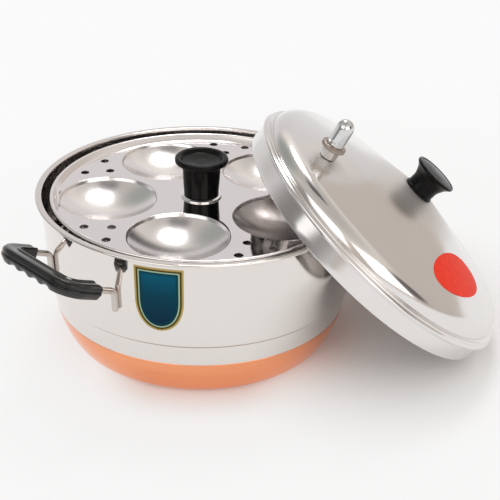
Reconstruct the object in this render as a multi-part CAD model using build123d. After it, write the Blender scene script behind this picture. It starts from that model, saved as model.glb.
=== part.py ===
from build123d import *
import os
from math import asin, atan2, cos, hypot, pi, radians, sin, sqrt, tan

# Idli steamer: a steel pot with a copper-clad base and two wire handles, a two-tier
# idli rack on a centre rod, and a conical lid with a whistle that leans on the rim.
# Millimetres and degrees. The origin is where the pot's axis meets the table.
# +Z is up, +X is the side where the lid leans, and -Y is the side with the shield.

os.makedirs("parts", exist_ok=True)

# Pot: the wall leans out by the flare from the step to the top, and the step goes in
# and down to the low wall; the flat of the base is set in from the low wall
wall_top_r = 126.9
pot_height = 125.4
pot_gauge = 1.0
rim_overhang = 4.3
rim_roll_height = 2.2
wall_flare = 3.5
wall_step_z = 53.3
step_depth = 3.0
step_height = 3.0
base_inset = 25.3
corner_small_r = 16.0
copper_line_z = 34.3
copper_gauge = 0.4

# Handles: a bent wire welded to the wall at both ends, with a moulded grip
left_handle_azimuth = 225.6
right_handle_azimuth = 30.3
handle_wire_r = 2.5
handle_half_span = 38.7
handle_height = 93.9
handle_leg = 16.0
handle_rise_angle = 23.2
handle_reach = 43.6
handle_heel_r = 6.0
handle_corner_r = 13.5
weld_gap = 0.05
grip_half_width = 6.6
grip_above = 5.4
grip_below = 6.4
grip_cover = 27.0
grip_edge_r = 1.6
grip_bore_gap = 0.05
grip_rib = 0.8
grip_rib_height = 1.4
scallop_count = 4
scallop_pitch = 13.0
scallop_r = 8.5
scallop_depth = 1.7

# Idli plates: clear of the wall's top radius, and hung below the rim
plate_clearance = 6.9
plate_gauge = 0.8
plate_drop = 6.8
plate_spacing = 46.0
plate_edge_rise = 4.6
plate_edge_width = 6.0
plate_edge_roll_r = 1.6
cup_count = 5
cup_r = 39.0
cup_edge_margin = 1.0
cup_depth = 14.5
cup_step = 2.4
cup_step_inset = 1.3
first_cup_azimuth = 187.3
lower_plate_turn = 36.0
vent_hole_r = 3.4
vent_edge_margin = 8.7
vent_row_gap = 16.3
vent_half_angle = 7.6

# Rack centre
rod_r = 4.0
rod_fit = 0.06
spacer_outer_r = 7.0
spacer_fit = 0.1
foot_r = 46.0
foot_gauge = 1.6
foot_rim_drop = 8.0
foot_rim_width = 7.0
foot_hole_r = 9.0
foot_hole_circle_r = 26.0
foot_hole_count = 4
rod_head_r = 8.0
rod_head_height = 2.4
rod_chamfer = 0.8
cup_washer_r = 16.4
cup_washer_height = 1.8
cup_washer_gauge = 0.8
knob_base_r = 13.8
knob_neck_r = 15.4
knob_lip_r = 21.4
knob_lip_height = 4.8
knob_height = 31.5
knob_dish_r = 17.0
knob_dish_depth = 4.0
knob_edge_r = 2.6
insert_outer_r = 6.5
insert_depth = 17.0
rod_in_knob = 16.0
moulding_gap = 0.02

# Lid, in its own frame: axis up, and height zero at the lower edge of the skirt, which
# plugs into the pot's wall with the fit; both beads stand out from the skirt
lid_fit = 1.8
lid_gauge = 0.8
lid_skirt_height = 17.6
lid_hem_r = 0.8
lid_bead_out = 3.2
lid_bead_r = 2.0
lid_bead_height = 17.4
lid_second_bead_out = 1.6
lid_second_bead_r = 1.2
lid_second_bead_height = 20.3
lid_shoulder_inset = 2.4
lid_shoulder_height = 21.6
lid_shoulder_radius = 13.5
lid_slope = 14.8
lid_seat_r = 15.0

# Where the lid leans: its low edge is this far above the table, the rim crosses the
# skirt this share of its radius above its middle, and the skirt passes the rim with
# this much to spare
lid_lean_share = 0.54845
lid_lean_azimuth = 0.44
lid_floor_gap = 0.6
lid_rest_gap = 1.56
lid_y = 1.0

# Lid knob
lid_knob_base_r = 12.8
lid_knob_collar = 2.0
lid_knob_waist_r = 12.0
lid_knob_waist_height = 10.0
lid_knob_top_r = 18.4
lid_knob_lip = 1.8
lid_knob_height = 21.0
lid_knob_crown = 0.8
lid_insert_r = 5.0
lid_insert_depth = 13.0
lid_screw_r = 2.0
lid_screw_fit = 0.3
lid_screw_head_r = 4.2
lid_screw_head_height = 2.2
lid_screw_engage = 9.0
lid_washer_r = 11.0
lid_washer_gauge = 1.0

# Vent and whistle, set square to the lid's slope
vent_radius = 88.0
vent_turn = 198.4
vent_stem_r = 3.5
vent_stem_fit = 0.1
vent_bore_r = 1.4
vent_hex_r = 6.9
vent_hex_height = 7.6
vent_seal_r = 5.6
vent_seal_gauge = 0.6
vent_washer_r = 8.0
vent_nut_r = 6.6
vent_nut_height = 4.0
vent_tail = 2.0
thread_gap = 0.02
vent_spindle_r = 2.6
vent_spindle_height = 12.0
whistle_fit = 0.08
whistle_flange_r = 9.8
whistle_flange_height = 4.0
whistle_flange_edge = 0.8
whistle_knurls = 24
whistle_knurl_r = 0.7
whistle_neck_r = 5.0
whistle_neck_height = 2.0
whistle_dome_r = 7.0
whistle_dome_height = 22.0

# Labels: plain foils
label_gauge = 0.15
label_gap = 0.03
shield_azimuth = 258.8
shield_width = 36.6
shield_drop = 6.4
shield_height = 53.0
oval_radius = 75.4
oval_turn = 312.4
oval_half_length = 40.2
oval_half_width = 19.1
oval_skew = 7.8

overrun = 40.0

# Sizes and places that follow from the ones above
rim_outer_r = wall_top_r + rim_overhang
wall_step_r = wall_top_r - wall_flare
low_wall_r = wall_step_r - step_depth
corner_height = wall_step_z - step_height
base_flat_r = low_wall_r - base_inset
shield_top_z = pot_height - shield_drop
plate_outer_r = wall_top_r - plate_clearance
plate_top_z = pot_height - plate_drop
plate_web_r = plate_outer_r - plate_edge_width
cup_circle_r = plate_web_r - cup_edge_margin - cup_r
vent_outer_circle_r = plate_web_r - vent_edge_margin
vent_inner_circle_r = vent_outer_circle_r - vent_row_gap
lid_skirt_r = wall_top_r - pot_gauge - lid_fit
lid_bead_outer_r = lid_skirt_r + lid_bead_out
lid_second_bead_outer_r = lid_skirt_r + lid_second_bead_out
lid_shoulder_r = lid_skirt_r - lid_shoulder_inset


def revolved(face):
    return revolve(face, axis=Axis.Z)


def side(*points):
    # a closed outline of straight lines in the XZ plane, points as (radius, height)
    return make_face(Polyline(*[(r, 0, h) for r, h in points], close=True))


def at(r, h):
    return (r, 0, h)


def disc(r, z0, z1):
    return Pos(0, 0, z0) * extrude(Circle(r), amount=z1 - z0)


def ring(r_out, r_in, z0, z1):
    return disc(r_out, z0, z1) - disc(r_in, z0 - overrun, z1 + overrun)


def cap_mid(r, h_edge, h_axis):
    # halfway along an arc that is centred on the axis, from radius r in to the axis
    sag = h_axis - h_edge
    ball = (r ** 2 + sag ** 2) / abs(sag) / 2
    half_sag = ball - sqrt(ball ** 2 - (r / 2) ** 2)
    return at(r / 2, h_axis - half_sag * (1 if sag > 0 else -1))


def save(shape, name):
    solids = shape.solids()
    body = solids[0] if len(solids) == 1 else Compound(children=list(solids))
    export_step(body, "parts/" + name + ".step")
    print(name, "solids", len(solids), "volume", round(sum(s.volume for s in solids), 1))


# ---- pot
# The corner is two tangent arcs: a small one from the flat base, and a large one whose
# radius and centre follow from touching both the small one and the low wall.
def corner(inset):
    run = low_wall_r - base_flat_r
    small = corner_small_r
    lift = corner_height
    big = (run ** 2 + (lift - small) ** 2 - small ** 2) / (run - small) / 2
    cx, cz = low_wall_r - big, lift
    sx, sz = base_flat_r, small
    gap = hypot(sx - cx, sz - cz)
    ux, uz = (sx - cx) / gap, (sz - cz) / gap
    mid_a = atan2(uz, ux)
    s_r, b_r = small - inset, big - inset
    touch = (cx + b_r * ux, cz + b_r * uz)
    half_small = (mid_a - pi / 2) / 2
    half_big = mid_a / 2
    p_small = (sx + s_r * cos(half_small), sz + s_r * sin(half_small))
    p_big = (cx + b_r * cos(half_big), cz + b_r * sin(half_big))
    low_arc = ThreePointArc(at(sx, inset), at(*p_small), at(*touch))
    high_arc = ThreePointArc(at(*touch), at(*p_big), at(cx + b_r, cz))
    return low_arc, high_arc


wall_slope = (wall_top_r - wall_step_r) / (pot_height - wall_step_z)


def wall_r(z):
    # outer radius of the tapered upper wall
    return wall_step_r + wall_slope * (z - wall_step_z)


# the rim is rolled outwards and pressed flat, so its section is a rounded bar
roll_r = rim_roll_height / 2
roll_z = pot_height - roll_r
roll_inner_r = wall_r(pot_height) - pot_gauge
roll_width = rim_outer_r - roll_inner_r


def pot_section(inset, top_z):
    # everything inside the pot's outer contour, shrunk by inset
    low_arc, high_arc = corner(inset)
    base = Line(at(0, inset), at(base_flat_r, inset))
    step = Line(at(low_wall_r - inset, corner_height), at(wall_step_r - inset, wall_step_z))
    wall = Line(at(wall_step_r - inset, wall_step_z), at(wall_r(top_z) - inset, top_z))
    top = Line(at(wall_r(top_z) - inset, top_z), at(0, top_z))
    axis_line = Line(at(0, top_z), at(0, inset))
    return make_face(Wire([*low_arc.edges(), *high_arc.edges(), *base.edges(), *step.edges(),
                           *wall.edges(), *top.edges(), *axis_line.edges()]))


outer_solid = revolved(pot_section(0, roll_z))
inner_solid = revolved(pot_section(pot_gauge, pot_height + overrun))
clad_solid = revolved(pot_section(copper_gauge, roll_z))
below_copper = disc(rim_outer_r + overrun, -overrun, copper_line_z)
roll = revolved(Plane.XZ * Pos(roll_inner_r + roll_width / 2, roll_z) * SlotOverall(roll_width, rim_roll_height))
copper_base = (outer_solid - clad_solid) & below_copper
pot_shell = (outer_solid - below_copper) + (clad_solid & below_copper) - inner_solid + roll
save(pot_shell, "pot_shell")
save(copper_base, "copper_base")
floor_z = pot_gauge


# ---- handles
# Built with the handle pointing along +X, then turned about the pot's axis.
def handle():
    rise = radians(handle_rise_angle)
    leg_top_r = wall_r(handle_height) + handle_wire_r + weld_gap
    x_leg = sqrt(leg_top_r ** 2 - handle_half_span ** 2)
    lean = wall_slope * handle_leg
    x_end = x_leg + handle_reach * cos(rise)
    z_end = handle_height + handle_reach * sin(rise)
    pts = []
    for sign in (-1, 1):
        leg_low = (x_leg - lean, sign * handle_half_span, handle_height - handle_leg)
        leg_top = (x_leg, sign * handle_half_span, handle_height)
        far = (x_end, sign * handle_half_span, z_end)
        pts.append([leg_low, leg_top, far])
    path_pts = pts[0] + pts[1][::-1]
    radii = [handle_heel_r, handle_corner_r, handle_corner_r, handle_heel_r]
    path = FilletPolyline(*path_pts, radius=radii)
    start = path_pts[0]
    aim = Vector(*path_pts[1]) - Vector(*start)
    wire = sweep(Plane(start, z_dir=aim) * Circle(handle_wire_r), path=path)
    # the grip is a bar of rounded-box section along the outer part of the same path
    tilt = Location((x_end, 0, z_end), (0, -handle_rise_angle, 0))
    across = handle_half_span
    back = grip_cover
    spine_low = FilletPolyline((-back, -across, 0), (0, -across, 0), (0, across, 0),
                               (-back, across, 0), radius=handle_corner_r)
    height = grip_above + grip_below
    shift = (grip_above - grip_below) / 2
    section = RectangleRounded(2 * grip_half_width, height, grip_edge_r * 2)
    profile = Plane((-back, -across, 0), x_dir=(0, 1, 0), z_dir=(1, 0, 0)) * Pos(0, shift) * section
    grip = sweep(profile, path=spine_low)
    rib = Plane((-back, -across, 0), x_dir=(0, 1, 0), z_dir=(1, 0, 0)) * Pos(
        -grip_half_width, shift) * Rectangle(2 * grip_rib, grip_rib_height)
    grip += sweep(rib, path=spine_low)
    # finger grooves across the underside
    first = -(scallop_count - 1) / 2
    for i in range(scallop_count):
        y = (first + i) * scallop_pitch
        z = -grip_below - scallop_r + scallop_depth
        grip -= Pos(0, y, z) * Rot(0, 90, 0) * Cylinder(scallop_r, overrun)
    grip = tilt * grip
    bore = sweep(Plane(start, z_dir=aim) * Circle(handle_wire_r + grip_bore_gap), path=path)
    return wire, grip - bore


wire, grip = handle()
for side_name, azimuth in (("left", left_handle_azimuth), ("right", right_handle_azimuth)):
    spin = Rot(0, 0, azimuth)
    save(spin * wire, "handle_wire_" + side_name)
    save(spin * grip, "handle_grip_" + side_name)


# ---- shield label on the pot wall
def shield():
    # outline in the plane tangent to the wall, with x across and y up from the top edge
    half = shield_width / 2
    shoulder_share = 0.55
    bulge_share = 0.86
    low_share = 0.80
    dip_share = 0.03
    top_mid = (0, -shield_height * dip_share)
    right_shoulder = (half, -shield_height * shoulder_share)
    left_shoulder = (-half, -shield_height * shoulder_share)
    tip = (0, -shield_height)
    r_mid = (half * bulge_share * low_share, -shield_height * low_share)
    l_mid = (-half * bulge_share * low_share, -shield_height * low_share)
    outline = Wire([
        Line((-half, 0), (half, 0)).edge(),
        Line((half, 0), right_shoulder).edge(),
        ThreePointArc(right_shoulder, r_mid, tip).edge(),
        ThreePointArc(tip, l_mid, left_shoulder).edge(),
        Line(left_shoulder, (-half, 0)).edge(),
    ])
    return make_face(outline)


az = radians(shield_azimuth)
outward = Vector(cos(az), sin(az), 0)
inside_r = wall_step_r - overrun
shield_plane = Plane(origin=outward * inside_r + Vector(0, 0, shield_top_z),
                     x_dir=Vector(-sin(az), cos(az), 0), z_dir=outward)
shield_prism = shield_plane * extrude(shield(), amount=2 * overrun)
skin_in = label_gap
skin_out = label_gap + label_gauge
skin = revolved(side((wall_r(wall_step_z) + skin_in, wall_step_z),
                     (wall_r(wall_step_z) + skin_out, wall_step_z),
                     (wall_r(pot_height) + skin_out, pot_height),
                     (wall_r(pot_height) + skin_in, pot_height)))
save(skin & shield_prism, "pot_label")


# ---- idli plates
def idli_plate(top_z, turn):
    under = top_z - plate_gauge
    web_r = plate_web_r
    plate = disc(web_r, under, top_z)
    # the edge slopes up to a roll
    inner_r = web_r - plate_gauge
    roll_mid = plate_outer_r - plate_edge_roll_r
    roll_level = top_z + plate_edge_rise - plate_edge_roll_r
    plate += revolved(side((inner_r, under), (web_r, under), (roll_mid, roll_level - plate_gauge),
                           (roll_mid, roll_level), (web_r - plate_gauge / 2, top_z), (inner_r, top_z)))
    plate += Pos(0, 0, roll_level) * Torus(roll_mid, plate_edge_roll_r)
    # a cup: a short step, then a shallow bowl
    bowl_r = cup_r - cup_step_inset
    bowl_sag = cup_depth - cup_step
    ball = (bowl_r ** 2 + bowl_sag ** 2) / bowl_sag / 2
    mid_a = asin(bowl_r / ball) / 2

    def bowl(grow):
        r = ball + grow
        cz = -cup_step - bowl_sag + ball
        a1 = 2 * mid_a
        arc = ThreePointArc(at(0, cz - r), at(r * sin(mid_a), cz - r * cos(mid_a)),
                            at(r * sin(a1), cz - r * cos(a1)))
        p = (r * sin(a1), cz - r * cos(a1))
        top = (cup_r + grow, 0)
        return arc, p, top

    arc_in, p_in, top_in = bowl(0)
    arc_out, p_out, top_out = bowl(plate_gauge)
    cup = make_face(Wire([
        arc_in.edge(), Line(at(*p_in), at(*top_in)).edge(), Line(at(*top_in), at(*top_out)).edge(),
        Line(at(*top_out), at(*p_out)).edge(), arc_out.edge(),
        Line(at(0, -cup_depth), at(0, -cup_depth - plate_gauge)).edge()]))
    cup = revolved(cup)
    for i in range(cup_count):
        a = radians(first_cup_azimuth + turn + 360 / cup_count * i)
        spot = Pos(cup_circle_r * cos(a), cup_circle_r * sin(a), top_z)
        plate -= spot * Pos(0, 0, -plate_gauge - overrun) * extrude(Circle(cup_r), amount=2 * overrun)
        plate += spot * cup
    cuts = disc(rod_r + rod_fit, under - overrun, top_z + overrun)
    for i in range(cup_count):
        between = first_cup_azimuth + turn + 360 / cup_count * (i + 1 / 2)
        for r, off in ((vent_inner_circle_r, 0), (vent_outer_circle_r, -vent_half_angle),
                       (vent_outer_circle_r, vent_half_angle)):
            a = radians(between + off)
            cuts += Pos(r * cos(a), r * sin(a), 0) * disc(vent_hole_r, under - overrun, top_z + overrun)
    return plate - cuts


upper_z = plate_top_z
lower_z = plate_top_z - plate_spacing
save(idli_plate(upper_z, 0), "idli_plate_upper")
save(idli_plate(lower_z, lower_plate_turn), "idli_plate_lower")

# ---- rack foot, rod, spacers
foot_top = floor_z + foot_rim_drop
foot = disc(foot_r - foot_rim_width, foot_top - foot_gauge, foot_top)
slant_in = foot_r - foot_rim_width
foot += revolved(side((slant_in - foot_gauge, foot_top - foot_gauge), (slant_in - foot_gauge, foot_top),
                      (slant_in, foot_top), (foot_r - foot_gauge, floor_z + foot_gauge),
                      (foot_r + foot_gauge, floor_z + foot_gauge), (foot_r + foot_gauge, floor_z),
                      (foot_r - 2 * foot_gauge, floor_z)))
for i in range(foot_hole_count):
    a = 2 * pi / foot_hole_count * (i + 1 / 2)
    foot -= Pos(foot_hole_circle_r * cos(a), foot_hole_circle_r * sin(a), 0) * disc(foot_hole_r, 0, overrun)
foot -= disc(rod_r + spacer_fit, 0, overrun)
save(foot, "rack_foot")

knob_seat_z = upper_z + cup_washer_height
rod_top = knob_seat_z + rod_in_knob
rod = disc(rod_r, foot_top - foot_gauge, rod_top)
rod += disc(rod_head_r, foot_top - foot_gauge - rod_head_height, foot_top - foot_gauge)
rod = chamfer(rod.edges().filter_by(GeomType.CIRCLE).sort_by(Axis.Z)[-1], rod_chamfer)
save(rod, "rack_rod")
save(ring(spacer_outer_r, rod_r + spacer_fit, foot_top, lower_z - plate_gauge), "rack_spacer_lower")
save(ring(spacer_outer_r, rod_r + spacer_fit, lower_z, upper_z - plate_gauge), "rack_spacer_upper")

# ---- washer and knob on the rack
washer = disc(cup_washer_r, upper_z, knob_seat_z)
washer = fillet(washer.edges().group_by(Axis.Z)[-1], cup_washer_height / 2)
washer -= disc(rod_r + spacer_fit, upper_z - overrun, knob_seat_z + overrun)
washer -= ring(cup_washer_r - cup_washer_gauge * 2, spacer_outer_r + cup_washer_gauge, upper_z - overrun,
               knob_seat_z - cup_washer_gauge)
save(washer, "rack_washer")

lip_z = knob_height - knob_lip_height
knob_lines = [
    Line(at(0, 0), at(knob_base_r, 0)),
    Line(at(knob_base_r, 0), at(knob_neck_r, lip_z)),
    ThreePointArc(at(knob_neck_r, lip_z), at(knob_lip_r, lip_z + knob_lip_height / 2),
                  at(knob_lip_r - knob_edge_r, knob_height)),
    Line(at(knob_lip_r - knob_edge_r, knob_height), at(knob_dish_r, knob_height)),
    ThreePointArc(at(knob_dish_r, knob_height),
                  cap_mid(knob_dish_r, knob_height, knob_height - knob_dish_depth),
                  at(0, knob_height - knob_dish_depth)),
    Line(at(0, knob_height - knob_dish_depth), at(0, 0)),
]
rack_knob = revolved(make_face(Wire([l.edge() for l in knob_lines])))
rack_knob -= disc(insert_outer_r + moulding_gap, -overrun, insert_depth + moulding_gap)
save(Pos(0, 0, knob_seat_z) * rack_knob, "rack_knob")
insert = ring(insert_outer_r, rod_r + rod_fit, 0, insert_depth)
save(Pos(0, 0, knob_seat_z) * insert, "rack_knob_insert")

# ---- lid
slope = radians(lid_slope)
arc_mid = (pi / 2 - slope) / 2
s_cx = lid_shoulder_r - lid_shoulder_radius


def shoulder_end(inset):
    r = lid_shoulder_radius - inset
    return (s_cx + r * sin(slope), lid_shoulder_height + r * cos(slope))


def seat(inset):
    # where the straight slope meets the flat seat, one inset below the outer face
    r, h = shoulder_end(0)
    level = h + tan(slope) * (r - lid_seat_r) - inset
    return (lid_seat_r - inset * (1 / cos(slope) - 1) / tan(slope), level)


def lid_section(inset):
    r = lid_shoulder_radius - inset
    end = shoulder_end(inset)
    mid = (s_cx + r * cos(arc_mid), lid_shoulder_height + r * sin(arc_mid))
    lines = [
        Line(at(0, -inset), at(lid_skirt_r - inset, -inset)),
        Line(at(lid_skirt_r - inset, -inset), at(lid_skirt_r - inset, lid_skirt_height)),
        Line(at(lid_skirt_r - inset, lid_skirt_height), at(lid_shoulder_r - inset, lid_shoulder_height)),
        ThreePointArc(at(lid_shoulder_r - inset, lid_shoulder_height), at(*mid), at(*end)),
        Line(at(*end), at(*seat(inset))),
        Line(at(*seat(inset)), at(0, seat(inset)[1])),
        Line(at(0, seat(inset)[1]), at(0, -inset)),
    ]
    return make_face(Wire([l.edge() for l in lines]))


# the skirt's lower edge is a tilted circle: it crosses the rim's circle where it has
# risen from the table to the rim's height
up_skirt = lid_lean_share * lid_skirt_r
tilt = asin((pot_height - lid_floor_gap) / (lid_skirt_r + up_skirt))
lean = radians(lid_lean_azimuth)
lid_z = lid_skirt_r * sin(tilt) + lid_floor_gap
lid_x = up_skirt * cos(tilt) + sqrt(rim_outer_r ** 2 - lid_skirt_r ** 2 + up_skirt ** 2) + lid_rest_gap
lid_plane = Plane(origin=(lid_x, lid_y, lid_z),
                  x_dir=(cos(tilt) * cos(lean), cos(tilt) * sin(lean), -sin(tilt)),
                  z_dir=(sin(tilt) * cos(lean), sin(tilt) * sin(lean), cos(tilt)))
place = lid_plane.location

lid = revolved(lid_section(0))
lid += Pos(0, 0, lid_bead_height) * Torus(lid_bead_outer_r - lid_bead_r, lid_bead_r)
lid += Pos(0, 0, lid_second_bead_height) * Torus(lid_second_bead_outer_r - lid_second_bead_r, lid_second_bead_r)
lid -= revolved(lid_section(lid_gauge))
lid += Pos(0, 0, lid_hem_r) * Torus(lid_skirt_r - lid_hem_r, lid_hem_r)
screw_hole_r = lid_screw_r + lid_screw_fit
seat_top = seat(0)[1]
lid -= disc(screw_hole_r, 0, seat_top + overrun)

# the vent's frame: on the slope's outer face, square to it
vent_a = radians(vent_turn)
end_r, end_h = shoulder_end(0)
vent_h = end_h + tan(slope) * (end_r - vent_radius)
vent_plane = Plane(origin=(vent_radius * cos(vent_a), vent_radius * sin(vent_a), vent_h),
                   x_dir=(cos(slope) * cos(vent_a), cos(slope) * sin(vent_a), -sin(slope)),
                   z_dir=(sin(slope) * cos(vent_a), sin(slope) * sin(vent_a), cos(slope)))
vent_place = vent_plane.location
lid -= vent_place * disc(vent_stem_r + vent_stem_fit, -overrun / 2, overrun / 2)
save(place * lid, "lid_shell")

# oval label, on the slope
oval_a = radians(oval_turn)
oval_h = end_h + tan(slope) * (end_r - oval_radius)
oval_plane = Plane(origin=(oval_radius * cos(oval_a), oval_radius * sin(oval_a), oval_h),
                   x_dir=(cos(slope) * cos(oval_a), cos(slope) * sin(oval_a), -sin(slope)),
                   z_dir=(sin(slope) * cos(oval_a), sin(slope) * sin(oval_a), cos(slope)))
oval_prism = oval_plane.location * Pos(0, 0, -overrun / 2) * Rot(0, 0, oval_skew) * extrude(
    Ellipse(oval_half_width, oval_half_length), amount=overrun)
lift_in = label_gap / cos(slope)
lift_out = (label_gap + label_gauge) / cos(slope)
oval_skin = revolved(side((end_r, end_h + lift_in), (end_r, end_h + lift_out),
                          (lid_seat_r, seat_top + lift_out), (lid_seat_r, seat_top + lift_in)))
save(place * (oval_skin & oval_prism), "lid_label")

# lid knob, its insert, screw and washer
k_lip = lid_knob_height - lid_knob_lip
knob_lines = [
    Line(at(0, 0), at(lid_knob_base_r, 0)),
    Line(at(lid_knob_base_r, 0), at(lid_knob_base_r, lid_knob_collar)),
    Line(at(lid_knob_base_r, lid_knob_collar), at(lid_knob_waist_r, lid_knob_collar)),
    Line(at(lid_knob_waist_r, lid_knob_collar), at(lid_knob_waist_r, lid_knob_waist_height)),
    ThreePointArc(at(lid_knob_waist_r, lid_knob_waist_height),
                  at(lid_knob_waist_r + (lid_knob_top_r - lid_knob_waist_r) / 3,
                     lid_knob_waist_height + (k_lip - lid_knob_waist_height) * 2 / 3),
                  at(lid_knob_top_r, k_lip)),
    Line(at(lid_knob_top_r, k_lip), at(lid_knob_top_r, lid_knob_height)),
    ThreePointArc(at(lid_knob_top_r, lid_knob_height),
                  cap_mid(lid_knob_top_r, lid_knob_height, lid_knob_height + lid_knob_crown),
                  at(0, lid_knob_height + lid_knob_crown)),
    Line(at(0, lid_knob_height + lid_knob_crown), at(0, 0)),
]
lid_knob = revolved(make_face(Wire([l.edge() for l in knob_lines])))
lid_knob -= disc(lid_insert_r + moulding_gap, -overrun, lid_insert_depth + moulding_gap)
knob_place = place * Pos(0, 0, seat_top)
save(knob_place * lid_knob, "lid_knob")
lid_insert = ring(lid_insert_r, lid_screw_r + thread_gap, 0, lid_insert_depth)
save(knob_place * lid_insert, "lid_knob_insert")
head_z = -lid_gauge - lid_washer_gauge
screw = disc(lid_screw_r, head_z, lid_screw_engage)
screw += disc(lid_screw_head_r, head_z - lid_screw_head_height, head_z)
screw = fillet(screw.edges().filter_by(GeomType.CIRCLE).sort_by(Axis.Z)[0], lid_screw_head_height / 3)
save(knob_place * screw, "lid_knob_screw")
save(knob_place * ring(lid_washer_r, screw_hole_r, head_z, -lid_gauge), "lid_knob_washer")

# vent: seal, stem with its hexagon, and nut under the lid
on_vent = place * vent_place


def hexagon(corner_r, z0, z1):
    return Pos(0, 0, z0) * extrude(RegularPolygon(corner_r, 6), amount=z1 - z0)


under_sag = vent_washer_r ** 2 * sin(slope) / vent_radius / 2
inside = -lid_gauge - under_sag
stem_low = inside - vent_seal_gauge - vent_nut_height - vent_tail
hex_low = vent_seal_gauge
hex_top = hex_low + vent_hex_height
stem = hexagon(vent_hex_r, hex_low, hex_top) + disc(vent_stem_r, stem_low, hex_low)
stem += disc(vent_spindle_r, hex_top, hex_top + vent_spindle_height)
stem -= disc(vent_bore_r, stem_low - overrun, hex_top + vent_spindle_height + overrun)
save(on_vent * stem, "vent_stem")
save(on_vent * ring(vent_seal_r, vent_stem_r + vent_stem_fit, 0, hex_low), "vent_seal")
nut_top = inside - vent_seal_gauge
save(on_vent * ring(vent_washer_r, vent_stem_r + vent_stem_fit, nut_top, inside), "vent_washer")
nut = hexagon(vent_nut_r, nut_top - vent_nut_height, nut_top)
nut -= disc(vent_stem_r + thread_gap, nut_top - overrun, nut_top + overrun)
save(on_vent * nut, "vent_nut")

# whistle: a knurled weight that sits on the hexagon, with a screwed-on dome
flange = disc(whistle_flange_r, hex_top, hex_top + whistle_flange_height)
flange = chamfer(flange.edges().filter_by(GeomType.CIRCLE), whistle_flange_edge)
for i in range(whistle_knurls):
    a = 2 * pi / whistle_knurls * i
    flange -= Pos(whistle_flange_r * cos(a), whistle_flange_r * sin(a), 0) * disc(
        whistle_knurl_r, hex_top - overrun, hex_top + overrun)
dome_low = hex_top + whistle_flange_height
dome_top = dome_low + whistle_dome_height
flange += disc(whistle_neck_r, dome_low, dome_low + whistle_neck_height)
spindle_top = hex_top + vent_spindle_height
flange -= disc(vent_spindle_r + whistle_fit, hex_top - overrun, dome_top)
save(on_vent * flange, "whistle_weight")
dome = disc(whistle_dome_r, dome_low, dome_top - whistle_dome_r)
dome += Pos(0, 0, dome_top - whistle_dome_r) * Sphere(whistle_dome_r)
room = whistle_neck_r + moulding_gap
dome -= disc(room, dome_low - overrun, spindle_top + vent_spindle_height / 2)
dome = dome - disc(whistle_dome_r + overrun, dome_low - overrun, dome_low)
save(on_vent * dome, "whistle_dome")

vent_axis = lid_plane.location * vent_plane.location
print("vent origin", vent_axis.position, "axis", Plane(vent_axis).z_dir)
print("lid axis", lid_plane.z_dir, "seat", seat_top)
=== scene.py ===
import math

import bmesh
import bpy
import numpy as np
from mathutils import Matrix, Vector
from mathutils.geometry import delaunay_2d_cdt


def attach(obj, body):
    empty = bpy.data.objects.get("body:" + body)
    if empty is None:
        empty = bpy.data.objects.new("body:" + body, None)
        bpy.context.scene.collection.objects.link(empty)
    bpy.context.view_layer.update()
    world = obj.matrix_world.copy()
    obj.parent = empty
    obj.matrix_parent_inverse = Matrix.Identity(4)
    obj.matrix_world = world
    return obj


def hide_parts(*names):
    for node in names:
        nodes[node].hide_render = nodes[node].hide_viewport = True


# The idli steamer as packed. Shapes are in millimetres from the middle of the pot's base,
# and the camera, the lamps and the floor's fades are in metres.
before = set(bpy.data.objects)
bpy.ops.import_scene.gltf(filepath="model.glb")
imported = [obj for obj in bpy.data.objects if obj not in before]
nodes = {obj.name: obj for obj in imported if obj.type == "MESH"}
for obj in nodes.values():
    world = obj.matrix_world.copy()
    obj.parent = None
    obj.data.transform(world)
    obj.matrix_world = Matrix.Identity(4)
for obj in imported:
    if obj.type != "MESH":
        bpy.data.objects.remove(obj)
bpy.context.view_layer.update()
mm = 0.001


# Camera
# A short tele lens in front of the pot, above the rim and turned down on to the plate.
CAMERA_PLACE = (0.0401, -0.8552, 0.5216)
CAMERA_PITCH = math.radians(27.83)
CAMERA_ROLL = math.radians(1.58)
CAMERA_LENS = 85.0
camera_data = bpy.data.cameras.new("camera")
camera_data.lens = CAMERA_LENS
camera_data.sensor_width = 36
camera_data.clip_start = 0.01
camera = bpy.data.objects.new("camera", camera_data)
bpy.context.scene.collection.objects.link(camera)
camera.matrix_world = (Matrix.Translation(CAMERA_PLACE) @ Matrix.Rotation(math.pi / 2 - CAMERA_PITCH, 4, "X")
                       @ Matrix.Rotation(CAMERA_ROLL, 4, "Z"))
bpy.context.scene.camera = camera


# Pot shell
# Deep-drawn stainless steel, polished on a wheel while it spins. The wall leans out to
# a rim that is folded out into a flat rounded lip, and steps in above the copper.
POT_GAUGE = 1.0
RIM_R = 131.18
RIM_TOP = 125.4
ROLL_R = 1.1
WALL_TOP_R = 126.9
WALL_STEP_R = 123.4
WALL_STEP_Z = 53.3
LOW_WALL_R = 120.4
CORNER_Z = 50.3
BASE_FLAT_R = 95.1
CORNER_SMALL_R = 16.0
COPPER_LINE_Z = 34.3
COPPER_GAUGE = 0.4
WALL_LEAN = (WALL_TOP_R - WALL_STEP_R) / (RIM_TOP - WALL_STEP_Z)


def arc(centre, radius, start, end, count):
    """Points on a circle about centre, from the angle start to end, in degrees."""
    t = np.radians(np.linspace(start, end, count))
    return np.column_stack((centre[0] + radius * np.cos(t), centre[1] + radius * np.sin(t)))


def unit(v):
    """Each vector divided by its own length."""
    return v / np.linalg.norm(v, axis=-1, keepdims=True)


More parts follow.
